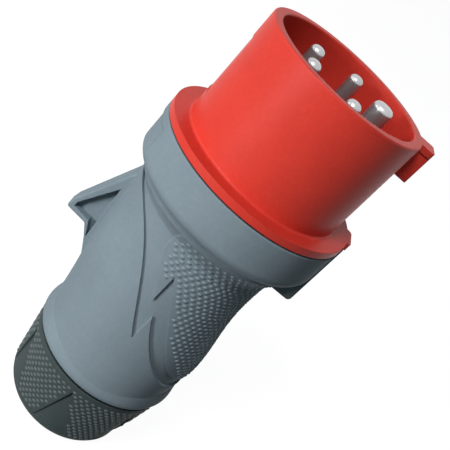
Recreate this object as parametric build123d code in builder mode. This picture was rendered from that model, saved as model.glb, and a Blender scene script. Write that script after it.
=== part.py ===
from build123d import *
from math import cos, radians, sin
import os

os.makedirs("parts", exist_ok=True)

# Pin and sleeve plug, in millimetres. It stands on its gland nut with the mouth up, and the origin
# is the middle of the cable entry. The key is on +X, the fin on -X.

# Heights that add up to the plug
nut_height = 30.6
nut_gap = 0.9
ring_height = 9.0
handle_length = 59.0
collar_length = 19.5
seal_thickness = 0.6
flange_thickness = 2.5
sleeve_length = 37.9

# The handle's lower end lies this far to the key side of the sleeve
axis_offset = 3.7

# Contact sleeve
sleeve_radius = 28.75
sleeve_bore_radius = 25.4
rim_round = 0.5
flange_foot_round = 0.8
bulkhead_thickness = 5.0
bulkhead_opening_radius = 22.4
skirt_wall = 2.0
skirt_gap = 2.0
skirt_length = 13.0
spigot_length = 3.0
key_width = 7.2
key_reach = 33.3
key_length = 12.0
key_end_rib = 2.1
key_recess = 0.45
key_round = 0.9
key_root = 1.2
panel_width = 20.0
panel_length = 21.0
panel_below_mouth = 9.5
panel_depth = 0.5

# Nose on the flange and ridge on the collar, on the key side
ridge_width = 10.0
ridge_root = 23.2
nose_reach = 36.0
ridge_reach = 35.6
ridge_drop = 6.2
ridge_corner_round = 1.5
ridge_round = 1.2
nose_round = 1.6

# Bayonet that holds the sleeve in the collar
bayonet_count = 3
lug_arc = 30.0
lug_height = 2.4
lug_reach = 1.8
rib_arc = 34.0
rib_height = 2.6
bayonet_play = 0.1
collar_play = 0.2

# Carrier, pins and terminals
carrier_play = 0.1
boss_radius = bulkhead_opening_radius - carrier_play
disc_thickness = 6.0
block_length = 23.1
pin_circle_radius = 13.65
pin_count = 5
pin_radius = 2.5
pin_below_mouth = 1.15
earth_radius = 3.5
earth_above_mouth = 0.5
tip_flat_radius = 0.6
earth_tip_flat_radius = 1.7
barrel_wall = 2.0
earth_barrel_wall = 1.8
pin_play = 0.05
# A thicker root where each pin leaves the carrier
shoulder_wall = 0.4
shoulder_proud = 0.3
barrel_play = 0.1
barrel_length = 24.0
wire_hole_wall = 2.1
wire_hole_depth = 14.0
terminal_screw_radius = 1.9
terminal_screw_height = 8.0
terminal_screw_bite = 0.8
terminal_screw_sunk = 1.0
terminal_screw_room = 2.55
terminal_screw_slot = 0.7
terminal_hole_play = 0.3
backplate_thickness = 2.5
wire_entry_radius = 3.2
backplate_screw_radius = 1.7
backplate_screw_head_radius = 3.4
backplate_screw_head_height = 2.4
backplate_screw_grip = 12.0
carrier_screw_count = 3
carrier_screw_radius = 1.3
carrier_screw_head_radius = 2.2
carrier_screw_room = 1.7
carrier_screw_head_height = 1.9
carrier_screw_grip = 2.5
screw_hole_play = 0.05
seal_inset = 1.0

# Housing
collar_straight = 11.4
collar_edge_chamfer = 0.35
collar_round = 4.3
# Flare from the throat down to the handle: distance in from the throat, and below the collar's front
flare_profile = ((0, 18.0), (1.1, 19.4), (2.4, 21.6), (4.2, 26.0))
flare_band_depth = 0.5
collar_wall = 3.0
handle_wall = 3.0
lid_seat_arc = 52.0
lid_seat_depth = 0.5
lid_seat_below_front = 3.0
collar_bore_depth = 12.8
# Distance from the sleeve axis, and distance below the collar's front
hollow_ledge = (28.4, 13.6)
hollow_neck = (23.4, 22.5)
# Ledge at the bottom of the hollow, inside the handle's wall
hollow_floor_ledge = 0.6
rib_reach = 1.7
band_depth = 0.9
# Handle sections: share of the handle's length above the end ring, share of the axis offset, radius,
# and how much wider the section is across the flanks
handle_sections = (
    (-0.085, 0.0, 26.0, 1.25),
    (0.11, 0.10, 27.15, 0.3),
    (0.28, 0.38, 27.65, 0.05),
    (0.45, 0.82, 27.45, 0.05),
    (0.62, 1.12, 27.05, 0.05),
    (0.85, 1.24, 27.25, 0.05),
    (1.08, 1.20, 27.8, 0.05),
)

# Hooked fin: distance from the sleeve axis, and distance below the collar's rear
fin_top_start = (28.0, 4.8)
fin_tip_top = (38.2, 27.2)
fin_tip = (39.2, 31.2)
fin_hook = (31.0, 31.8)
fin_heel = (28.4, 35.8)
fin_foot = (24.6, 42.9)
fin_inside = 21.0
fin_root_width = 9.6
fin_tip_width = 6.0
fin_corner_round = 1.0
fin_round = 0.5
fin_web = 1.8
pocket_outline = ((28.9, 13.4), (36.8, 27.6), (36.9, 29.4), (30.3, 30.1), (27.8, 35.6))

# Relief band: distance from the sleeve axis towards the key, and distance below the collar's rear
band_head = -1.5
band_spine_edge = ((-30.0, 0.6), (-21.4, 4.9), (-12.0, 14.6), (2.5, 38.8))
band_step = (2.7, 28.3)
band_lower_edge = (band_step, (8.2, 37.5), (17.1, 47.9), (26.0, 54.8), (38.0, 56.0))
pad_lower_edge = ((38.0, 51.6), (26.2, 50.4), (13.5, 36.7), (5.2, 22.8), (-0.9, 12.7))
pad_step = (-0.9, 23.4)
pad_upper_edge = (
    pad_step,
    (-3.5, 18.0),
    (-6.2, 13.3),
    (-8.3, 9.3),
    (-9.4, 5.0),
    (-9.2, 2.0),
    (-8.6, 0.2),
    (-7.6, band_head),
)

# End ring and threaded spigot
# Radius, and height above the ring's lower edge
ring_profile = (
    (25.4, 9.4),
    (26.3, 7.9),
    (26.88, 6.4),
    (27.27, 4.6),
    (27.6, 2.4),
    (27.3, 1.0),
    (26.7, 0.35),
)
lip_radius = 25.9
lip_height = 0.3
lip_groove = 0.35
lip_groove_depth = 0.8
neck_radius = 23.4
thread_radius = 22.5
thread_depth = 0.85
thread_play = 0.1
spigot_end = 13.0
spigot_bore_radius = 17.5
cage_ledge_height = 27.0
cage_ledge_radius = 15.6

# Gland
nut_end_radius = 18.0
nut_bend = (21.3, 2.9)
nut_low_radius = 23.3
nut_low_height = 6.5
nut_top_radius = 26.6
nut_top_chamfer = 0.3
nut_mouth_radius = 24.4
nut_mouth_depth = 2.2
cable_entry_radius = 10.5
nut_end_wall = 4.0
facet_count = 6
facet_apex_angle = -94.4
facet_apex_drop = 2.6
# Run of the straight edge at its foot, and (drop below the nut's top, run) along the curved edge
facet_straight_edge = -6.0
facet_curved_edge = ((11.9, 2.8), (21.3, 7.3), (31.6, 10.5))
facet_depth_high = 1.1
facet_depth_low = 0.4
ring_seat_radius = 20.3
ring_seat_play = 0.1
thrust_ring_height = 7.2
thrust_ring_bore = 11.0
thrust_ring_rim = 17.4
finger_count = 8
finger_gap = 2.0
finger_clearance = 0.45
cage_bore_radius = 12.5
cage_ring_height = 6.0
finger_tip_height = 8.2
finger_radius = 16.8
seal_hole_radius = 7.2
seal_shoulder_height = 2.5
seal_play = 0.1

# Levels
nut_top = nut_height
ring_low = nut_top + nut_gap
ring_top = ring_low + ring_height
collar_rear = ring_top + handle_length
collar_front = collar_rear + collar_length
flange_back = collar_front + seal_thickness
flange_front = flange_back + flange_thickness
mouth = flange_front + sleeve_length
bulkhead_back = flange_front - bulkhead_thickness
disc_back = bulkhead_back - disc_thickness
block_back = disc_back - block_length
barrel_front = block_back + barrel_length
skirt_end = flange_back - skirt_length
# The barrels set the carrier's block, the screws round it the skirt, and the skirt the collar
block_radius = pin_circle_radius + earth_radius + earth_barrel_wall + terminal_screw_room
skirt_inner_radius = block_radius + 2 * carrier_screw_head_radius + carrier_screw_room
skirt_outer_radius = skirt_inner_radius + skirt_wall
disc_radius = skirt_inner_radius - 2 * carrier_play
collar_bore_radius = skirt_outer_radius + skirt_gap
collar_radius = collar_bore_radius + collar_wall
flange_radius = collar_radius
throat_radius = collar_radius - collar_round
sleeve_spigot_radius = collar_bore_radius - collar_play
sleeve_x = -axis_offset
sleeve_axis = Axis((sleeve_x, 0, 0), (0, 0, 1))


def turned_plane(angle, centre=(sleeve_x, 0)):
    """A half plane through an upright axis: local x is the distance from it, local y the height."""
    across = (sin(radians(angle)), -cos(radians(angle)), 0)
    outwards = (cos(radians(angle)), sin(radians(angle)), 0)
    return Plane(origin=(centre[0], centre[1], 0), x_dir=outwards, z_dir=across)


def outward_plane(angle, distance, height, centre_x=sleeve_x):
    """A plane that faces away from an upright axis: local x is up, local y runs clockwise."""
    outwards = (cos(radians(angle)), sin(radians(angle)), 0)
    foot = (centre_x + distance * outwards[0], distance * outwards[1], height)
    return Plane(origin=foot, x_dir=(0, 0, 1), z_dir=outwards)


def turned(points, axis=sleeve_axis, centre=(sleeve_x, 0)):
    """A solid turned from a closed outline of distances and heights."""
    with BuildPart() as solid:
        with BuildSketch(turned_plane(0, centre)):
            with BuildLine():
                Polyline(*points, close=True)
            make_face()
        revolve(axis=axis)
    return solid.part


def ring_sectors(count, arc, inner, outer, low, high):
    """Equal arcs of a square ring round the sleeve axis, the first in the middle of the key side."""
    with BuildPart() as sectors:
        for index in range(count):
            with BuildSketch(turned_plane(index * 360 / count - arc / 2)):
                with Locations(((inner + outer) / 2, (low + high) / 2)):
                    Rectangle(outer - inner, high - low)
            revolve(axis=sleeve_axis, revolution_arc=arc)
    return sectors.part


def handle_form(inset):
    """The handle's lofted round form, drawn in by the inset."""
    with BuildPart() as form:
        for share, lean, radius, widening in handle_sections:
            with BuildSketch(Plane.XY.offset(ring_top + share * handle_length)):
                with Locations((-lean * axis_offset, 0)):
                    Ellipse(radius - inset, radius + widening - inset)
        loft()
    return form.part


def flare_form(inset):
    """The flare between the handle and the collar's throat, drawn in by the inset."""
    top, foot = flare_profile[0][1], flare_profile[-1][1]
    with BuildPart() as form:
        with BuildSketch(turned_plane(0)):
            with BuildLine():
                side = Spline(
                    *[(throat_radius - step - inset, collar_front - drop) for step, drop in flare_profile]
                )
                Polyline(side @ 1, (0, collar_front - foot), (0, collar_front - top), side @ 0)
            make_face()
        revolve(axis=sleeve_axis)
    return form.part


def from_key(points):
    """Outline points in the upright plane, from distances towards the key and below the collar."""
    return [(sleeve_x + distance, collar_rear - drop) for distance, drop in points]


def from_fin(points):
    """Outline points in the upright plane, from distances towards the fin and below the collar."""
    return [(sleeve_x - distance, collar_rear - drop) for distance, drop in points]


def pin_sizes(index):
    """Angle, centre, radius, barrel radius, tip height and tip flat of a pin. Pin 0 is the earth."""
    angle = index * 360 / pin_count
    centre_x = sleeve_x + pin_circle_radius * cos(radians(angle))
    centre_y = pin_circle_radius * sin(radians(angle))
    if index == 0:
        barrel = earth_radius + earth_barrel_wall
        tip = mouth + earth_above_mouth
        return angle, (centre_x, centre_y), earth_radius, barrel, tip, earth_tip_flat_radius
    tip = mouth - pin_below_mouth
    return angle, (centre_x, centre_y), pin_radius, pin_radius + barrel_wall, tip, tip_flat_radius


carrier_screw_circle = (block_radius + skirt_inner_radius) / 2
carrier_screw_places = [
    (
        sleeve_x + carrier_screw_circle * cos(radians(180 / pin_count + index * 360 / carrier_screw_count)),
        carrier_screw_circle * sin(radians(180 / pin_count + index * 360 / carrier_screw_count)),
    )
    for index in range(carrier_screw_count)
]
terminal_height = block_back + terminal_screw_height

# Contact sleeve: one moulding with its flange, key, bulkhead and bayonet skirt
lugs = ring_sectors(
    bayonet_count,
    lug_arc,
    skirt_outer_radius - lug_reach / 2,
    skirt_outer_radius + lug_reach,
    skirt_end,
    skirt_end + lug_height,
)
with BuildPart() as contact_sleeve:
    with BuildSketch(turned_plane(0)):
        with BuildLine():
            Polyline(
                (sleeve_bore_radius, mouth),
                (sleeve_radius, mouth),
                (sleeve_radius, flange_front),
                (flange_radius, flange_front),
                (flange_radius, flange_back),
                (sleeve_spigot_radius, flange_back),
                (sleeve_spigot_radius, flange_back - spigot_length),
                (skirt_outer_radius, flange_back - spigot_length),
                (skirt_outer_radius, skirt_end),
                (skirt_inner_radius, skirt_end),
                (skirt_inner_radius, bulkhead_back),
                (bulkhead_opening_radius, bulkhead_back),
                (bulkhead_opening_radius, flange_front),
                (sleeve_bore_radius, flange_front),
                close=True,
            )
        make_face()
    revolve(axis=sleeve_axis)
    sleeve_foot = (
        contact_sleeve.edges()
        .filter_by(GeomType.CIRCLE)
        .filter_by(lambda edge: abs(edge.radius - sleeve_radius) < 0.01)
        .sort_by(Axis.Z)[0]
    )
    fillet(sleeve_foot, flange_foot_round)
    fillet(contact_sleeve.edges().group_by(Axis.Z)[-1], rim_round)
    # Key, flush with the mouth, with a recess between the two end ribs of each flank
    with BuildSketch(Plane.XY.offset(mouth - key_length)):
        with Locations((sleeve_x + (sleeve_radius + key_reach) / 2 - key_root / 2, 0)):
            Rectangle(key_reach - sleeve_radius + key_root, key_width)
        fillet(vertices().group_by(Axis.X)[-1], key_round)
    extrude(amount=key_length)
    for flank in (1, -1):
        with BuildSketch(Plane.XY.offset(mouth - key_length + key_end_rib)):
            with Locations((sleeve_x + key_reach - key_round, flank * key_width / 2)):
                Rectangle(2 * (key_reach - key_round - sleeve_radius), 2 * key_recess)
        extrude(amount=key_length - 2 * key_end_rib, mode=Mode.SUBTRACT)
    # Flat marking panel, left bare, on the fin side
    with BuildSketch(Plane.YZ.offset(sleeve_x - sleeve_radius + panel_depth)):
        with Locations((0, mouth - panel_below_mouth - panel_length / 2)):
            Rectangle(panel_width, panel_length)
    extrude(amount=-2 * panel_depth, mode=Mode.SUBTRACT)
    # Nose that carries the collar's ridge on over the flange
    with BuildSketch(Plane.XY.offset(flange_back)):
        with Locations((sleeve_x + (sleeve_radius + nose_reach) / 2, 0)):
            Rectangle(nose_reach - sleeve_radius, ridge_width)
        fillet(vertices().group_by(Axis.X)[-1], nose_round)
    extrude(amount=flange_thickness)
    # Blind holes for the screws that hold the carrier
    with BuildSketch(Plane.XY.offset(bulkhead_back)):
        with Locations(*carrier_screw_places):
            Circle(carrier_screw_radius + screw_hole_play)
    extrude(amount=carrier_screw_grip + screw_hole_play, mode=Mode.SUBTRACT)
    add(lugs)
contact_sleeve.part.label = "contact_sleeve"
export_step(contact_sleeve.part, "parts/contact_sleeve.step")

# Contact carrier: boss through the bulkhead, disc behind it, and the block of terminal chambers
with BuildPart() as contact_carrier:
    with BuildSketch(Plane.XY.offset(block_back)):
        with Locations((sleeve_x, 0)):
            Circle(block_radius)
    extrude(amount=block_length)
    with BuildSketch(Plane.XY.offset(disc_back)):
        with Locations((sleeve_x, 0)):
            Circle(disc_radius)
    extrude(amount=disc_thickness)
    with BuildSketch(Plane.XY.offset(bulkhead_back)):
        with Locations((sleeve_x, 0)):
            Circle(boss_radius)
    extrude(amount=bulkhead_thickness)
    for index in range(pin_count):
        angle, centre, radius, barrel, tip, flat = pin_sizes(index)
        with BuildSketch(Plane.XY.offset(block_back)):
            with Locations(centre):
                Circle(barrel + barrel_play)
        extrude(amount=barrel_length, mode=Mode.SUBTRACT)
        with BuildSketch(Plane.XY.offset(barrel_front)):
            with Locations(centre):
                Circle(radius + shoulder_wall + pin_play)
        extrude(amount=flange_front - barrel_front, mode=Mode.SUBTRACT)
        with BuildSketch(outward_plane(angle, pin_circle_radius, terminal_height)):
            Circle(terminal_screw_radius + terminal_hole_play)
        extrude(amount=block_radius, mode=Mode.SUBTRACT)
    with BuildSketch(Plane.XY.offset(block_back)):
        with Locations((sleeve_x, 0)):
            Circle(backplate_screw_radius + screw_hole_play)
    extrude(amount=backplate_screw_grip + screw_hole_play, mode=Mode.SUBTRACT)
    with BuildSketch(Plane.XY.offset(disc_back)):
        with Locations(*carrier_screw_places):
            Circle(carrier_screw_radius + screw_hole_play)
    extrude(amount=disc_thickness, mode=Mode.SUBTRACT)
contact_carrier.part.label = "contact_carrier"
export_step(contact_carrier.part, "parts/contact_carrier.step")


def make_pin(index, label):
    """A turned pin with its terminal barrel, wire hole and tapped cross hole."""
    angle, centre, radius, barrel, tip, flat = pin_sizes(index)
    with BuildPart() as pin:
        with BuildSketch(turned_plane(angle, centre)):
            with BuildLine():
                Polyline(
                    (0, block_back),
                    (barrel, block_back),
                    (barrel, barrel_front),
                    (radius + shoulder_wall, barrel_front),
                    (radius + shoulder_wall, flange_front + shoulder_proud),
                    (radius, flange_front + shoulder_proud),
                    (radius, tip),
                    (0, tip),
                    close=True,
                )
            make_face()
        revolve(axis=Axis((centre[0], centre[1], 0), (0, 0, 1)))
        fillet(pin.edges().group_by(Axis.Z)[-1], radius - flat)
        with BuildSketch(Plane.XY.offset(block_back)):
            with Locations(centre):
                Circle(barrel - wire_hole_wall)
        extrude(amount=wire_hole_depth, mode=Mode.SUBTRACT)
        with BuildSketch(outward_plane(angle, pin_circle_radius, terminal_height)):
            Circle(terminal_screw_radius + screw_hole_play)
        extrude(amount=2 * barrel, mode=Mode.SUBTRACT)
    pin.part.label = label
    return pin.part


def make_terminal_screw(index, label):
    """A slotted grub screw that clamps the wire in a pin's barrel."""
    angle, centre, radius, barrel, tip, flat = pin_sizes(index)
    start = pin_circle_radius + barrel - wire_hole_wall - terminal_screw_bite
    end = block_radius - terminal_screw_sunk
    with BuildPart() as screw:
        with BuildSketch(outward_plane(angle, start, terminal_height)):
            Circle(terminal_screw_radius)
        extrude(amount=end - start)
        with BuildSketch(outward_plane(angle, end, terminal_height)):
            Rectangle(terminal_screw_slot, 3 * terminal_screw_radius)
        extrude(amount=-terminal_screw_slot, mode=Mode.SUBTRACT)
    screw.part.label = label
    return screw.part


for index, conductor in enumerate(("pe", "l1", "l2", "l3", "n")):
    export_step(make_pin(index, "pin_" + conductor), "parts/pin_" + conductor + ".step")
    export_step(
        make_terminal_screw(index, "terminal_screw_" + conductor),
        "parts/terminal_screw_" + conductor + ".step",
    )

# Plate over the back of the terminal chambers, with one wire entry for each
with BuildPart() as carrier_backplate:
    with BuildSketch(Plane.XY.offset(block_back - backplate_thickness)):
        with Locations((sleeve_x, 0)):
            Circle(block_radius)
            Circle(backplate_screw_radius + screw_hole_play, mode=Mode.SUBTRACT)
        with Locations(*[pin_sizes(index)[1] for index in range(pin_count)]):
            Circle(wire_entry_radius, mode=Mode.SUBTRACT)
    extrude(amount=backplate_thickness)
carrier_backplate.part.label = "carrier_backplate"
export_step(carrier_backplate.part, "parts/carrier_backplate.step")

backplate_back = block_back - backplate_thickness
with BuildPart() as backplate_screw:
    with BuildSketch(Plane.XY.offset(backplate_back - backplate_screw_head_height)):
        with Locations((sleeve_x, 0)):
            Circle(backplate_screw_head_radius)
    extrude(amount=backplate_screw_head_height)
    with BuildSketch(Plane.XY.offset(backplate_back)):
        with Locations((sleeve_x, 0)):
            Circle(backplate_screw_radius)
    extrude(amount=backplate_thickness + backplate_screw_grip)
    with BuildSketch(Plane.XY.offset(backplate_back - backplate_screw_head_height)):
        with Locations((sleeve_x, 0)):
            Rectangle(terminal_screw_slot, 3 * backplate_screw_head_radius)
    extrude(amount=terminal_screw_slot, mode=Mode.SUBTRACT)
backplate_screw.part.label = "backplate_screw"
export_step(backplate_screw.part, "parts/backplate_screw.step")

with BuildPart() as carrier_screws:
    with BuildSketch(Plane.XY.offset(disc_back - carrier_screw_head_height)):
        with Locations(*carrier_screw_places):
            Circle(carrier_screw_head_radius)
    extrude(amount=carrier_screw_head_height)
    with BuildSketch(Plane.XY.offset(disc_back)):
        with Locations(*carrier_screw_places):
            Circle(carrier_screw_radius)
    extrude(amount=disc_thickness + carrier_screw_grip)
carrier_screws.part.label = "carrier_screws"
export_step(carrier_screws.part, "parts/carrier_screws.step")

# Flat seal between the flange and the collar, a little inside both
with BuildPart() as flange_seal:
    with BuildSketch(Plane.XY.offset(collar_front)):
        with Locations((sleeve_x, 0)):
            Circle(collar_radius - seal_inset)
            Circle(collar_bore_radius + collar_play, mode=Mode.SUBTRACT)
    extrude(amount=seal_thickness)
flange_seal.part.label = "flange_seal"
export_step(flange_seal.part, "parts/flange_seal.step")

# Relief band: the prism of its outline, kept only above the floor of the band
with BuildPart() as band_cutter:
    with BuildSketch(Plane.XZ):
        with BuildLine():
            spine = Spline(*from_key(band_spine_edge))
            lower = Spline(*from_key(band_lower_edge))
            pad_low = Spline(*from_key(pad_lower_edge))
            pad_high = Spline(*from_key(pad_upper_edge))
            Line(spine @ 1, lower @ 0)
            Line(lower @ 1, pad_low @ 0)
            Line(pad_low @ 1, pad_high @ 0)
            Polyline(pad_high @ 1, from_key([(band_spine_edge[0][0], band_head)])[0], spine @ 0)
        make_face()
    extrude(amount=collar_radius + ridge_width, both=True)
    add(handle_form(band_depth), mode=Mode.SUBTRACT)
    add(flare_form(flare_band_depth), mode=Mode.SUBTRACT)

# Hooked fin with a blind pocket on each side of a thin web
with BuildPart() as fin:
    with BuildSketch(Plane.XZ):
        with BuildLine():
            Polyline(
                *from_fin(
                    [
                        (fin_inside, fin_top_start[1]),
                        fin_top_start,
                        fin_tip_top,
                        fin_tip,
                        fin_hook,
                        fin_heel,
                        fin_foot,
                        (fin_inside, fin_foot[1]),
                    ]
                ),
                close=True,
            )
        make_face()
        fin_corners = vertices().filter_by(
            lambda corner: corner.X < sleeve_x - (fin_inside + fin_foot[0]) / 2
        )
        fillet(fin_corners, fin_corner_round)
    extrude(amount=fin_root_width, both=True)
    with BuildSketch(Plane.XY.offset(collar_rear - fin_foot[1])):
        with BuildLine():
            Polyline(
                (sleeve_x - fin_inside, fin_root_width / 2),
                (sleeve_x - fin_tip[0] - fin_round, fin_tip_width / 2),
                (sleeve_x - fin_tip[0] - fin_round, -fin_tip_width / 2),
                (sleeve_x - fin_inside, -fin_root_width / 2),
                close=True,
            )
        make_face()
    extrude(amount=fin_foot[1], mode=Mode.INTERSECT)
    fillet(fin.edges().filter_by(lambda edge: abs(edge.center().Y) > fin_tip_width / 4), fin_round)
    for flank in (1, -1):
        with BuildSketch(Plane.XZ.offset(flank * fin_web / 2)):
            with BuildLine():
                Polyline(*from_fin(pocket_outline), close=True)
            make_face()
        extrude(amount=flank * fin_root_width, mode=Mode.SUBTRACT)

# Ridge on the key side, from the collar's front down on to the handle
with BuildPart() as ridge:
    with BuildSketch(Plane.XZ):
        with Locations(
            (
                sleeve_x + (ridge_root + ridge_reach) / 2,
                collar_rear + (collar_length - ridge_drop) / 2,
            )
        ):
            Rectangle(ridge_reach - ridge_root, collar_length + ridge_drop)
        fillet(vertices().sort_by(Axis.X)[-2:].sort_by(Axis.Y)[0], ridge_corner_round)
    extrude(amount=ridge_width / 2, both=True)
    ridge_outline = (
        ridge.edges()
        .filter_by(lambda edge: abs(edge.center().Y) > ridge_width / 4)
        .filter_by(lambda edge: edge.center().Z < collar_front - ridge_round)
        .filter_by(lambda edge: edge.center().X > sleeve_x + ridge_root)
    )
    fillet(ridge_outline, ridge_round)

ribs = ring_sectors(
    bayonet_count,
    rib_arc,
    collar_bore_radius - rib_reach,
    collar_bore_radius + rib_reach / 2,
    skirt_end + lug_height + bayonet_play,
    skirt_end + lug_height + bayonet_play + rib_height,
)
lid_seat_low = collar_front - collar_straight - collar_round / 2
with BuildPart() as lid_seat_sector:
    with BuildSketch(turned_plane(180 - lid_seat_arc / 2)):
        with Locations((collar_radius, (lid_seat_low + collar_front - lid_seat_below_front) / 2)):
            Rectangle(2 * lid_seat_depth, collar_front - lid_seat_below_front - lid_seat_low)
    revolve(axis=sleeve_axis, revolution_arc=lid_seat_arc)
lid_seat = lid_seat_sector.part
spigot_radius = thread_radius - thread_depth
neck_end = nut_top - nut_mouth_depth + collar_play
hollow_low = ring_top + handle_sections[0][0] * handle_length

# Housing: collar, handle, fin, ridge, end ring and spigot in one moulding
with BuildPart() as housing:
    add(handle_form(0))
    add(flare_form(0))
    add(band_cutter.part, mode=Mode.SUBTRACT)
    add(fin.part)
    with BuildSketch(turned_plane(0)):
        with BuildLine():
            rim = Polyline(
                (0, collar_front),
                (collar_radius - collar_edge_chamfer, collar_front),
                (collar_radius, collar_front - collar_edge_chamfer),
                (collar_radius, collar_front - collar_straight),
            )
            underside = TangentArc(
                rim @ 1,
                (throat_radius, collar_front - collar_straight - collar_round),
                tangent=rim % 1,
            )
            Polyline(
                underside @ 1,
                (throat_radius, collar_front - flare_profile[0][1]),
                (0, collar_front - flare_profile[0][1]),
                (0, collar_front),
            )
        make_face()
    revolve(axis=sleeve_axis)
    # Shallow seat for a socket's lid, over the fin
    add(lid_seat, mode=Mode.SUBTRACT)
    add(ridge.part)
    # End ring, lip, neck and threaded spigot, round the gland's axis
    with BuildSketch(turned_plane(0, (0, 0))):
        with BuildLine():
            bulge = Spline(*[(radius, ring_low + height) for radius, height in ring_profile])
            Polyline(
                bulge @ 1,
                (lip_radius - lip_groove_depth, ring_low + lip_groove),
                (lip_radius - lip_groove_depth, ring_low),
                (lip_radius, ring_low),
                (lip_radius, ring_low - lip_height),
                (neck_radius, ring_low - lip_height),
                (neck_radius, neck_end),
                (spigot_radius, neck_end),
                (spigot_radius, spigot_end),
                (0, spigot_end),
                (0, ring_low + ring_profile[0][1]),
                bulge @ 0,
            )
        make_face()
    revolve(axis=Axis.Z)
    # Hollow for the gland, the wires and the terminals
    add(
        turned(
            [
                (0, spigot_end),
                (spigot_bore_radius, spigot_end),
                (spigot_bore_radius, cage_ledge_height),
                (cage_ledge_radius, cage_ledge_height),
                (cage_ledge_radius, ring_low),
                (handle_sections[0][2] - handle_wall - hollow_floor_ledge, hollow_low),
                (0, hollow_low),
            ],
            Axis.Z,
            (0, 0),
        ),
        mode=Mode.SUBTRACT,
    )
    add(handle_form(handle_wall), mode=Mode.SUBTRACT)
    add(
        turned(
            [
                (0, collar_front - hollow_neck[1]),
                (hollow_neck[0], collar_front - hollow_neck[1]),
                (hollow_ledge[0], collar_front - hollow_ledge[1]),
                (collar_bore_radius, collar_front - collar_bore_depth),
                (collar_bore_radius, collar_front),
                (0, collar_front),
            ]
        ),
        mode=Mode.SUBTRACT,
    )
    add(ribs)
housing.part.label = "housing"
export_step(housing.part, "parts/housing.step")

# Gland nut: smooth tapering facets alternate with the fields that carry the grip dots
facet_floor = turned(
    [
        (0, -nut_end_wall),
        (nut_low_radius - facet_depth_low, -nut_end_wall),
        (nut_low_radius - facet_depth_low, nut_low_height),
        (nut_top_radius - facet_depth_high, nut_height),
        (0, nut_height),
    ],
    Axis.Z,
    (0, 0),
)
with BuildPart() as facet_cutter:
    for index in range(facet_count):
        apex_plane = outward_plane(
            facet_apex_angle + index * 360 / facet_count, nut_end_radius / 2, nut_height, 0
        )
        with BuildSketch(apex_plane):
            with BuildLine():
                curve = Spline(
                    (-facet_apex_drop, 0), *[(-drop, -run) for drop, run in facet_curved_edge]
                )
                Polyline(curve @ 1, (-facet_curved_edge[-1][0], -facet_straight_edge), curve @ 0)
            make_face()
        extrude(amount=nut_top_radius)
    add(facet_floor, mode=Mode.SUBTRACT)
ring_seat_top = nut_end_wall + ring_seat_play + thrust_ring_height + ring_seat_play
with BuildPart() as gland_nut:
    with BuildSketch(turned_plane(0, (0, 0))):
        with BuildLine():
            bend = ThreePointArc((nut_end_radius, 0), nut_bend, (nut_low_radius, nut_low_height))
            Polyline(
                bend @ 1,
                (nut_top_radius, nut_height - nut_top_chamfer),
                (nut_top_radius - nut_top_chamfer, nut_height),
                (nut_mouth_radius, nut_height),
                (nut_mouth_radius, nut_height - nut_mouth_depth),
                (thread_radius + thread_play, nut_height - nut_mouth_depth),
                (thread_radius + thread_play, ring_seat_top),
                (ring_seat_radius, ring_seat_top),
                (ring_seat_radius, nut_end_wall),
                (cable_entry_radius, nut_end_wall),
                (cable_entry_radius, 0),
                bend @ 0,
            )
        make_face()
    revolve(axis=Axis.Z)
    add(facet_cutter.part, mode=Mode.SUBTRACT)
gland_nut.part.label = "gland_nut"
export_step(gland_nut.part, "parts/gland_nut.step")

# Conical ring between the nut's end wall and the cage's fingers
thrust_low = nut_end_wall + ring_seat_play
thrust_high = thrust_low + thrust_ring_height
with BuildPart() as thrust_ring:
    with BuildSketch(turned_plane(0, (0, 0))):
        with BuildLine():
            Polyline(
                (thrust_ring_bore, thrust_low),
                (ring_seat_radius - ring_seat_play, thrust_low),
                (ring_seat_radius - ring_seat_play, thrust_high),
                (thrust_ring_rim, thrust_high),
                close=True,
            )
        make_face()
    revolve(axis=Axis.Z)
thrust_ring.part.label = "thrust_ring"
export_step(thrust_ring.part, "parts/thrust_ring.step")


def cone_radius(height):
    """The radius of the thrust ring's inner cone at a height."""
    share = (height - thrust_low) / thrust_ring_height
    return thrust_ring_bore + share * (thrust_ring_rim - thrust_ring_bore)


# Clamp cage: a ring seated in the spigot, with slotted fingers that reach into the thrust ring
with BuildPart() as clamp_cage:
    with BuildSketch(turned_plane(0, (0, 0))):
        with BuildLine():
            Polyline(
                (cage_bore_radius, finger_tip_height),
                (cone_radius(finger_tip_height) - finger_clearance, finger_tip_height),
                (finger_radius, thrust_high),
                (finger_radius, cage_ledge_height - cage_ring_height),
                (spigot_bore_radius - seal_play, cage_ledge_height - cage_ring_height),
                (spigot_bore_radius - seal_play, cage_ledge_height),
                (cage_bore_radius, cage_ledge_height),
                close=True,
            )
        make_face()
    revolve(axis=Axis.Z)
    with BuildSketch(Plane.XY.offset(finger_tip_height)):
        with PolarLocations(spigot_bore_radius / 2, finger_count):
            Rectangle(spigot_bore_radius, finger_gap)
        Circle(cage_bore_radius / 2, mode=Mode.SUBTRACT)
    extrude(amount=cage_ledge_height - cage_ring_height - finger_tip_height, mode=Mode.SUBTRACT)
clamp_cage.part.label = "clamp_cage"
export_step(clamp_cage.part, "parts/clamp_cage.step")

# Rubber bush inside the cage, with a shoulder on the cage's ring
with BuildPart() as gland_seal:
    with BuildSketch(turned_plane(0, (0, 0))):
        with BuildLine():
            Polyline(
                (seal_hole_radius, finger_tip_height),
                (cage_bore_radius - seal_play, finger_tip_height),
                (cage_bore_radius - seal_play, cage_ledge_height),
                (cage_ledge_radius - seal_play, cage_ledge_height),
                (cage_ledge_radius - seal_play, cage_ledge_height + seal_shoulder_height),
                (seal_hole_radius, cage_ledge_height + seal_shoulder_height),
                close=True,
            )
        make_face()
    revolve(axis=Axis.Z)
gland_seal.part.label = "gland_seal"
export_step(gland_seal.part, "parts/gland_seal.step")
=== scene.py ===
import math

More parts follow.
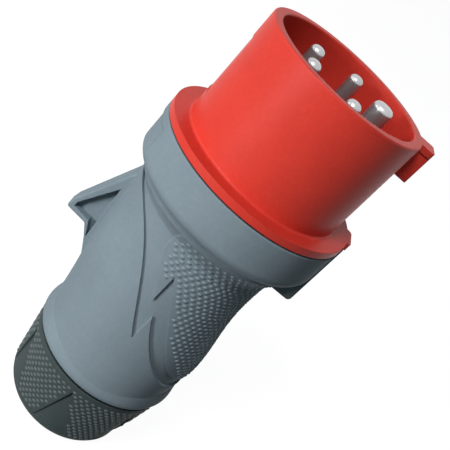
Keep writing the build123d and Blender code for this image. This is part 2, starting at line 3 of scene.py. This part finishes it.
import bmesh
import bpy
from mathutils import Matrix, Vector
from mathutils.bvhtree import BVHTree


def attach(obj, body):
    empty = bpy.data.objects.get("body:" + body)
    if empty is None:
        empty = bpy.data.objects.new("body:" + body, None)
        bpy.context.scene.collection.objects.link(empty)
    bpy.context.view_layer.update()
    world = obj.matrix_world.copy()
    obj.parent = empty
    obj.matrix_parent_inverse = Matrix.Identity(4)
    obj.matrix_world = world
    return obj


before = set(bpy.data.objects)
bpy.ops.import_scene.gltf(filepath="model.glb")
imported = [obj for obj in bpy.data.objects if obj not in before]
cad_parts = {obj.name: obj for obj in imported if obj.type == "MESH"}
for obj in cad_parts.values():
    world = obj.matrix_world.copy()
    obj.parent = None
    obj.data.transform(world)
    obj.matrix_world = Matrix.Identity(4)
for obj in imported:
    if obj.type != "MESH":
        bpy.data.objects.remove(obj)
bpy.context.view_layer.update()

# Blender works in metres; places and sizes on the plug are written in millimetres
MM = 0.001

# The photograph's camera: its axes, its place in millimetres and its lens
CAMERA_RIGHT = (0.7604, 0.1713, 0.6265)
CAMERA_UP = (-0.6296, 0.4311, 0.6463)
CAMERA_FORWARD = (0.1594, 0.8859, -0.4356)
CAMERA_PLACE = (-40.84, -227.62, 209.79)
LENS = 64.0

# Lamps: place in metres, power in watts, and the side of the square in metres
LAMPS = {
    "key_light": ((-0.80, -0.74, 0.14), 7.1, 0.26),
    "upper_light": ((-0.42, -0.62, 0.92), 6.9, 0.35),
    "side_light": ((-1.15, -0.05, 0.36), 2.0, 0.40),
}
LAMP_AIM = (0.0, 0.0, 0.08)
WHITE = (1.0, 1.0, 1.0, 1.0)
SKY_COLOUR = (0.62, 0.85, 1.0, 1.0)
SKY_STRENGTH = 0.04
FLOOR_COLOUR = (0.19, 0.19, 0.19, 1.0)
FLOOR_LIGHT = 0.96
# The floor's half width in metres, and how far it lies under the plug in millimetres
FLOOR_HALF_WIDTH = 3.0
FLOOR_DROP = 0.05


def make_camera():
    """The photograph's camera: from the front left, looking down, and rolled on its side."""
    data = bpy.data.cameras.new("camera")
    data.sensor_width = 36.0
    data.lens = LENS
    data.clip_start = 0.01
    data.clip_end = 20.0
    camera = bpy.data.objects.new("camera", data)
    bpy.context.scene.collection.objects.link(camera)
    turn = Matrix((Vector(CAMERA_RIGHT), Vector(CAMERA_UP), -Vector(CAMERA_FORWARD))).transposed()
    camera.matrix_world = Matrix.Translation(Vector(CAMERA_PLACE) * MM) @ turn.to_4x4()
    bpy.context.scene.camera = camera


# Light and floor
def area_light(name, place, power, width):
    """A square lamp that faces the middle of the plug."""
    data = bpy.data.lights.new(name, "AREA")
    data.shape = "SQUARE"
    data.size = width
    data.energy = power
    lamp = bpy.data.objects.new(name, data)
    bpy.context.scene.collection.objects.link(lamp)
    lamp.location = place
    aim = Vector(LAMP_AIM) - Vector(place)
    lamp.rotation_euler = aim.to_track_quat("-Z", "Y").to_euler()


def seen_rays(nodes, links):
    """One for camera, glossy and transmission rays, zero for the rest."""
    paths = nodes.new("ShaderNodeLightPath")
    first = nodes.new("ShaderNodeMath")
    first.operation = "MAXIMUM"
    second = nodes.new("ShaderNodeMath")
    second.operation = "MAXIMUM"
    links.new(paths.outputs["Is Camera Ray"], first.inputs[0])
    links.new(paths.outputs["Is Glossy Ray"], first.inputs[1])
    links.new(first.outputs[0], second.inputs[0])
    links.new(paths.outputs["Is Transmission Ray"], second.inputs[1])
    return second.outputs[0]


def make_world():
    """White behind the object, with a faint cool light for the object itself."""
    world = bpy.data.worlds.new("studio")
    bpy.context.scene.world = world
    world.use_nodes = True
    nodes, links = world.node_tree.nodes, world.node_tree.links
    nodes.clear()
    soft = nodes.new("ShaderNodeBackground")
    soft.inputs["Color"].default_value = SKY_COLOUR
    soft.inputs["Strength"].default_value = SKY_STRENGTH
    white = nodes.new("ShaderNodeBackground")
    white.inputs["Color"].default_value = WHITE
    white.inputs["Strength"].default_value = 1.0
    mix = nodes.new("ShaderNodeMixShader")
    output = nodes.new("ShaderNodeOutputWorld")
    links.new(seen_rays(nodes, links), mix.inputs[0])
    links.new(soft.outputs[0], mix.inputs[1])
    links.new(white.outputs[0], mix.inputs[2])
    links.new(mix.outputs[0], output.inputs["Surface"])


def make_floor():
    """A plain pale floor just under the nut's flat end, which keeps the plug's shadow."""
    mesh = bpy.data.meshes.new("floor")
    corners = [
        (x * FLOOR_HALF_WIDTH, y * FLOOR_HALF_WIDTH, -FLOOR_DROP * MM)
        for x, y in ((-1, -1), (1, -1), (1, 1), (-1, 1))
    ]
    mesh.from_pydata(corners, [], [(0, 1, 2, 3)])
    floor = bpy.data.objects.new("floor", mesh)
    bpy.context.scene.collection.objects.link(floor)
    material = bpy.data.materials.new("floor_paper")
    material.use_nodes = True
    nodes, links = material.node_tree.nodes, material.node_tree.links
    nodes.clear()
    matt = nodes.new("ShaderNodeBsdfDiffuse")
    matt.inputs["Color"].default_value = FLOOR_COLOUR
    glow = nodes.new("ShaderNodeEmission")
    strength = nodes.new("ShaderNodeMath")
    strength.operation = "MULTIPLY"
    strength.inputs[1].default_value = FLOOR_LIGHT
    total = nodes.new("ShaderNodeAddShader")
    output = nodes.new("ShaderNodeOutputMaterial")
    links.new(seen_rays(nodes, links), strength.inputs[0])
    links.new(strength.outputs[0], glow.inputs["Strength"])
    links.new(matt.outputs[0], total.inputs[0])
    links.new(glow.outputs[0], total.inputs[1])
    links.new(total.outputs[0], output.inputs["Surface"])
    mesh.materials.append(material)


# Materials
def noise(nodes, links, coordinates, scale, detail, stretch=None):
    """A noise texture in metres, stretched along one axis where asked."""
    place = coordinates
    if stretch:
        mapping = nodes.new("ShaderNodeMapping")
        mapping.inputs["Scale"].default_value = stretch
        links.new(coordinates, mapping.inputs["Vector"])
        place = mapping.outputs["Vector"]
    texture = nodes.new("ShaderNodeTexNoise")
    texture.inputs["Scale"].default_value = scale
    texture.inputs["Detail"].default_value = detail
    links.new(place, texture.inputs["Vector"])
    return texture.outputs["Fac"]


def ranged(nodes, links, value, low, high, out_low, out_high):
    """A value taken from one range to another."""
    span = nodes.new("ShaderNodeMapRange")
    span.inputs["From Min"].default_value = low
    span.inputs["From Max"].default_value = high
    span.inputs["To Min"].default_value = out_low
    span.inputs["To Max"].default_value = out_high
    links.new(value, span.inputs["Value"])
    return span.outputs["Result"]


def mixed(nodes, links, share, first, second):
    """Two colours mixed by a share; each is a constant or a socket."""
    mix = nodes.new("ShaderNodeMix")
    mix.data_type = "RGBA"
    links.new(share, mix.inputs["Factor"])
    for colour, socket in ((first, mix.inputs["A"]), (second, mix.inputs["B"])):
        if isinstance(colour, tuple):
            socket.default_value = (*colour, 1.0)
        else:
            links.new(colour, socket)
    return mix.outputs["Result"]


def make_material(name, colour, shade, roughness, grain, metal=0.0, edge=0.0, stretch=None, specular=0.5):
    """A procedural material: broad colour change, pale specks, and fine grain in roughness and bump.

    The grain is its scale, its depth in millimetres and its share in the roughness. The edge is the
    radius in millimetres that corners are shaded with.
    """
    scale, depth, spread = grain
    material = bpy.data.materials.new(name)
    material.use_nodes = True
    nodes, links = material.node_tree.nodes, material.node_tree.links
    shader = nodes["Principled BSDF"]
    shader.inputs["Metallic"].default_value = metal
    shader.inputs["Specular IOR Level"].default_value = specular
    coordinates = nodes.new("ShaderNodeTexCoord").outputs["Object"]
    broad = noise(nodes, links, coordinates, 60.0, 3.0)
    fine = noise(nodes, links, coordinates, scale, 3.0, stretch)
    speckle = noise(nodes, links, coordinates, scale * 0.45, 2.0)
    drift = ranged(nodes, links, broad, 0.35, 0.65, 0.0, 1.0)
    base = mixed(nodes, links, drift, colour, shade)
    dust = ranged(nodes, links, speckle, 0.42, 0.75, 0.0, 0.10)
    pale = tuple(min(1.0, value * 1.5 + 0.02) for value in colour)
    base = mixed(nodes, links, dust, base, pale)
    links.new(base, shader.inputs["Base Color"])
    rough = ranged(nodes, links, fine, 0.3, 0.7, roughness - spread, roughness + spread)
    links.new(rough, shader.inputs["Roughness"])
    bump = nodes.new("ShaderNodeBump")
    bump.inputs["Strength"].default_value = 1.0
    bump.inputs["Distance"].default_value = depth * MM
    links.new(fine, bump.inputs["Height"])
    if edge:
        soft = nodes.new("ShaderNodeBevel")
        soft.samples = 6
        soft.inputs["Radius"].default_value = edge * MM
        links.new(soft.outputs["Normal"], bump.inputs["Normal"])
    links.new(bump.outputs["Normal"], shader.inputs["Normal"])
    return material


MATERIALS = {
    "red": make_material(
        "red_polyamide", (0.68, 0.047, 0.030), (0.63, 0.041, 0.026), 0.44, (1900.0, 0.010, 0.05),
        edge=0.35, specular=0.18,
    ),
    "grey": make_material(
        "grey_polyamide", (0.222, 0.281, 0.317), (0.204, 0.259, 0.294), 0.58, (1700.0, 0.012, 0.05),
        edge=0.5, specular=0.04,
    ),
    # The grip dots' material is a slightly lighter copy of the grey: a painted highlight for the light that
    # the dots' tops catch
    "grey_dots_painted_highlight": make_material(
        "grey_polyamide_dots_painted_highlight", (0.228, 0.290, 0.325), (0.210, 0.268, 0.302), 0.50, (1700.0, 0.008, 0.05),
        specular=0.08,
    ),
    "dark": make_material(
        "dark_polyamide", (0.064, 0.084, 0.087), (0.055, 0.073, 0.075), 0.60, (1500.0, 0.012, 0.05),
        edge=0.5, specular=0.03,
    ),
    # The nut dots' material is a lighter copy of the dark: a painted highlight for the light that the dots'
    # tops catch
    "dark_dots_painted_highlight": make_material(
        "dark_polyamide_dots_painted_highlight", (0.102, 0.127, 0.129), (0.090, 0.113, 0.115), 0.42, (1500.0, 0.008, 0.05),
        specular=0.16,
    ),
    "nickel": make_material(
        "nickel", (0.58, 0.59, 0.60), (0.50, 0.51, 0.52), 0.32, (900.0, 0.004, 0.04),
        metal=0.80, stretch=(1.0, 1.0, 0.05), edge=0.2,
    ),
    "steel": make_material(
        "zinc_steel", (0.60, 0.60, 0.58), (0.52, 0.52, 0.50), 0.30, (1200.0, 0.004, 0.06),
        metal=1.0, edge=0.15,
    ),
    "rubber": make_material(
        "black_rubber", (0.018, 0.019, 0.020), (0.026, 0.027, 0.028), 0.62, (1400.0, 0.015, 0.06),
    ),
    "light": make_material(
        "light_polyamide", (0.42, 0.43, 0.42), (0.37, 0.38, 0.37), 0.45, (1600.0, 0.010, 0.05), edge=0.2,
    ),
}

NODE_MATERIALS = {
    "contact_sleeve": "red",
    "contact_carrier": "red",
    "carrier_backplate": "light",
    "backplate_screw": "steel",
    "carrier_screws": "steel",
    "flange_seal": "rubber",
    "housing": "grey",
    "gland_nut": "dark",
    "thrust_ring": "light",
    "clamp_cage": "light",
    "gland_seal": "rubber",
}
for conductor in ("pe", "l1", "l2", "l3", "n"):
    NODE_MATERIALS["pin_" + conductor] = "nickel"
    NODE_MATERIALS["terminal_screw_" + conductor] = "steel"


def dress_nodes():
    """Give every node its material."""
    for name, kind in NODE_MATERIALS.items():
        node = bpy.data.objects[name]
        node.data.materials.clear()
        node.data.materials.append(MATERIALS[kind])


# Pieces of the scene
def finish_piece(mesh, name, material, body, smooth):
    """Make an object of a bmesh, with its material and the body that it rides on."""
    data = bpy.data.meshes.new(name)
    mesh.to_mesh(data)
    mesh.free()
    for polygon in data.polygons:
        polygon.use_smooth = smooth
    data.materials.append(MATERIALS[material])
    piece = bpy.data.objects.new(name, data)
    bpy.context.scene.collection.objects.link(piece)
    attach(piece, body)


# Rows of oval dots
SLEEVE_X = -3.7
COLLAR_REAR = 99.5
DOT_COLUMNS = 66
DOT_SUNK = 0.12
# Rays that look for the surface start this far from the axis
CAST_START = 60.0

# Half width, half height and how far a dot stands proud
HANDLE_DOT = (0.98, 0.62, 0.40)
NUT_DOT = (0.92, 0.58, 0.38)

# The edge of the grip zone, from the sleeve's axis towards the key and below the collar's rear,
# closed beyond the handle
PAD_EDGE = (
    (-7.6, -1.5), (-8.6, 0.2), (-9.2, 2.0), (-9.4, 5.0), (-8.3, 9.3), (-6.2, 13.3), (-3.5, 18.0),
    (-0.9, 23.4), (-0.9, 12.7), (5.2, 22.8), (13.5, 36.7), (26.2, 50.4), (38.0, 51.6), (38.0, -6.0),
    (-7.6, -6.0),
)
PAD_MARGIN = 1.3
# Heights of the rows under the collar; below them the rows are evenly spaced, down to the lowest
TOP_ROWS = (99.7, 97.9, 96.1, 94.5, 93.1, 91.7, 90.3, 88.8)
ROW_GAP = 1.613
LOWEST_ROW = 46.0
SIDE_COLUMNS = 23
# How far the columns swing towards the key, in degrees, by height
COLUMN_SWING = (
    (53.5, 8.2), (56.7, 8.1), (59.9, 7.5), (62.9, 6.7), (66.1, 5.5), (69.3, 4.2), (72.5, 2.8), (75.8, 1.3),
    (79.1, 0.0), (82.5, -1.1), (85.8, -2.0), (88.8, -2.0), (91.7, -1.0), (94.5, 0.9), (97.9, 1.7),
    (99.7, 1.5),
)
# Columns nearer than this to the key, in radians, swing less
FULL_SWING_FROM = 0.7
# Dots stay off the collar, and off places with a step in the surface
COLLAR_REACH = 30.5
HANDLE_PATCH = (1.7, 0.9)
FLARE_LOW = 93.0
FLARE_STEP = 1.1
HANDLE_STEP = 0.4

# The nut's rows, and the cone that its fields lie on
NUT_ROWS = 14
NUT_TOP_ROW = 28.05
NUT_ROW_GAP = 1.582
NUT_PHASE = -115.1
NUT_LOW_RADIUS = 23.3
NUT_LOW_HEIGHT = 6.5
NUT_TOP_RADIUS = 26.6
NUT_CONE_HEIGHT = 23.5
# Facets lie at least this far inside the cone
FACET_DEPTH = 0.12
NUT_PATCH = (1.3, 0.9)
NUT_STEP = 0.30


def surface(name):
    """A ray caster over a node's mesh, in metres."""
    mesh = bpy.data.objects[name].data
    return BVHTree.FromPolygons(
        [vertex.co for vertex in mesh.vertices], [polygon.vertices for polygon in mesh.polygons]
    )


def cast_inward(tree, centre_x, angle, height):
    """Where a level ray from outside meets a node: place, normal, and distance from the axis."""
    out = Vector((math.cos(angle), math.sin(angle), 0.0))
    origin = Vector((centre_x, 0.0, height)) * MM + out * CAST_START * MM
    place, normal, _, _ = tree.ray_cast(origin, -out)
    if place is None:
        return None, None, 0.0
    radius = (place - Vector((centre_x, 0.0, height)) * MM).dot(out) / MM
    return place, normal, radius


def level_patch(tree, centre_x, angle, height, reach, radius, step):
    """Whether the surface round a place has no step in it."""
    for turn in range(8):
        side = reach[0] * math.cos(turn * math.pi / 4) / radius
        rise = reach[1] * math.sin(turn * math.pi / 4)
        _, _, other = cast_inward(tree, centre_x, angle + side, height + rise)
        if abs(other - radius) > step:
            return False
    return True


def add_dot(mesh, place, normal, size, segments, rings=3):
    """A low oval dome on a surface, wider round the axis than it is tall."""
    half_width, half_height, proud = size
    across = Vector((0.0, 0.0, 1.0)).cross(normal).normalized()
    along = normal.cross(across)
    loops = []
    for ring in range(rings):
        share = 1.0 - ring / rings
        lift = -DOT_SUNK + (proud + DOT_SUNK) * math.sqrt(1.0 - share * share)
        loop = []
        for step in range(segments):
            turn = 2 * math.pi * step / segments
            offset = (
                across * half_width * share * math.cos(turn) + along * half_height * share * math.sin(turn)
            )
            loop.append(mesh.verts.new(place + (offset + normal * lift) * MM))
        loops.append(loop)
    top = mesh.verts.new(place + normal * proud * MM)
    for lower, upper in zip(loops, loops[1:]):
        for step in range(segments):
            after = (step + 1) % segments
            mesh.faces.new((lower[step], lower[after], upper[after], upper[step]))
    for step in range(segments):
        mesh.faces.new((loops[-1][step], loops[-1][(step + 1) % segments], top))


def in_pad(distance, drop):
    """Whether a place in the side view is on the key side of the grip zone's edge."""
    inside = False
    for (x1, y1), (x2, y2) in zip(PAD_EDGE, PAD_EDGE[1:] + PAD_EDGE[:1]):
        if (y1 > drop) != (y2 > drop) and distance < (x2 - x1) * (drop - y1) / (y2 - y1) + x1:
            inside = not inside
    return inside


def column_swing(height):
    """The columns' swing at a height, in radians."""
    if height <= COLUMN_SWING[0][0]:
        return math.radians(COLUMN_SWING[0][1])
    for (low, swing), (high, next_swing) in zip(COLUMN_SWING, COLUMN_SWING[1:]):
        if height <= high:
            return math.radians(swing + (next_swing - swing) * (height - low) / (high - low))
    return math.radians(COLUMN_SWING[-1][1])


def make_handle_dots():
    """Staggered rows of dots over the grip zone, round both flanks and the key side."""
    tree = surface("housing")
    mesh = bmesh.new()
    heights = list(TOP_ROWS)
    while heights[-1] > LOWEST_ROW:
        heights.append(heights[-1] - ROW_GAP)
    for row, height in enumerate(heights):
        swing = column_swing(height)
        shift = 0.5 * ((row + 1) % 2)
        step = FLARE_STEP if height > FLARE_LOW else HANDLE_STEP
        for column in range(-SIDE_COLUMNS, SIDE_COLUMNS + 1):
            angle = (column + shift) * 2 * math.pi / DOT_COLUMNS
            angle -= math.copysign(swing * min(1.0, abs(angle) / FULL_SWING_FROM), angle)
            place, normal, radius = cast_inward(tree, SLEEVE_X, angle, height)
            if place is None or radius > COLLAR_REACH:
                continue
            distance, drop = place.x / MM - SLEEVE_X, COLLAR_REAR - height
            if not in_pad(distance, drop) or not in_pad(distance - PAD_MARGIN, drop):
                continue
            if level_patch(tree, SLEEVE_X, angle, height, HANDLE_PATCH, radius, step):
                add_dot(mesh, place, normal, HANDLE_DOT, 14)
    # The dots wear the lighter dots material, a painted highlight
    finish_piece(mesh, "grip_dots", "grey_dots_painted_highlight", "plug", smooth=True)


def make_nut_dots():
    """Staggered rows of dots on the nut's fields, between the smooth facets."""
    tree = surface("gland_nut")
    mesh = bmesh.new()
    for row in range(NUT_ROWS):
        height = NUT_TOP_ROW - row * NUT_ROW_GAP
        cone = (
            NUT_LOW_RADIUS + (height - NUT_LOW_HEIGHT) * (NUT_TOP_RADIUS - NUT_LOW_RADIUS) / NUT_CONE_HEIGHT
        )
        for column in range(DOT_COLUMNS):
            angle = math.radians(NUT_PHASE) + (column + (row % 2) / 2) * 2 * math.pi / DOT_COLUMNS
            place, normal, radius = cast_inward(tree, 0.0, angle, height)
            if place is None or radius < cone - FACET_DEPTH:
                continue
            if level_patch(tree, 0.0, angle, height, NUT_PATCH, radius, NUT_STEP):
                add_dot(mesh, place, normal, NUT_DOT, 12)
    # The dots wear the lighter dots material, a painted highlight
    finish_piece(mesh, "nut_dots", "dark_dots_painted_highlight", "nut", smooth=True)


# Screw thread of the gland
THREAD_PITCH = 2.0
THREAD_SEGMENTS = 64
# Half widths of a ridge at its root and at its crest
THREAD_ROOT_HALF = 0.55
THREAD_CREST_HALF = 0.15
# A ridge grows out of its root, and goes back into it, over this many segments
THREAD_RUN_OUT = 12


def add_thread(mesh, root, crest, low, high):
    """A right-handed helical ridge round the gland's axis, from its root to its crest radius."""
    steps = round((high - low) / THREAD_PITCH * THREAD_SEGMENTS)
    sections = []
    for step in range(steps + 1):
        angle = 2 * math.pi * step / THREAD_SEGMENTS
        height = low + (high - low) * step / steps
        grown = min(1.0, step / THREAD_RUN_OUT, (steps - step) / THREAD_RUN_OUT)
        tip = root + (crest - root) * max(0.05, grown)
        outline = (
            (root, height - THREAD_ROOT_HALF), (tip, height - THREAD_CREST_HALF),
            (tip, height + THREAD_CREST_HALF), (root, height + THREAD_ROOT_HALF),
        )
        sections.append([
            mesh.verts.new(Vector((radius * math.cos(angle), radius * math.sin(angle), level)) * MM)
            for radius, level in outline
        ])
    for before, after in zip(sections, sections[1:]):
        for side in range(4):
            other = (side + 1) % 4
            mesh.faces.new((before[side], before[other], after[other], after[side]))
    mesh.faces.new(sections[0])
    mesh.faces.new(reversed(sections[-1]))
    bmesh.ops.recalc_face_normals(mesh, faces=mesh.faces[:])


def make_threads():
    """The gland's screw thread: one ridge on the spigot, one in the nut, half a pitch apart."""
    spigot = bmesh.new()
    add_thread(spigot, 21.6, 22.35, 14.0, 27.5)
    finish_piece(spigot, "spigot_thread", "grey", "plug", smooth=False)
    bore = bmesh.new()
    add_thread(bore, 22.65, 21.85, 15.0, 27.0)
    finish_piece(bore, "nut_thread", "dark", "nut", smooth=False)


bpy.context.scene.view_settings.view_transform = "Standard"
make_camera()
for lamp_name, (lamp_place, lamp_power, lamp_width) in LAMPS.items():
    area_light(lamp_name, lamp_place, lamp_power, lamp_width)
make_world()
make_floor()
dress_nodes()
make_handle_dots()
make_nut_dots()
make_threads()
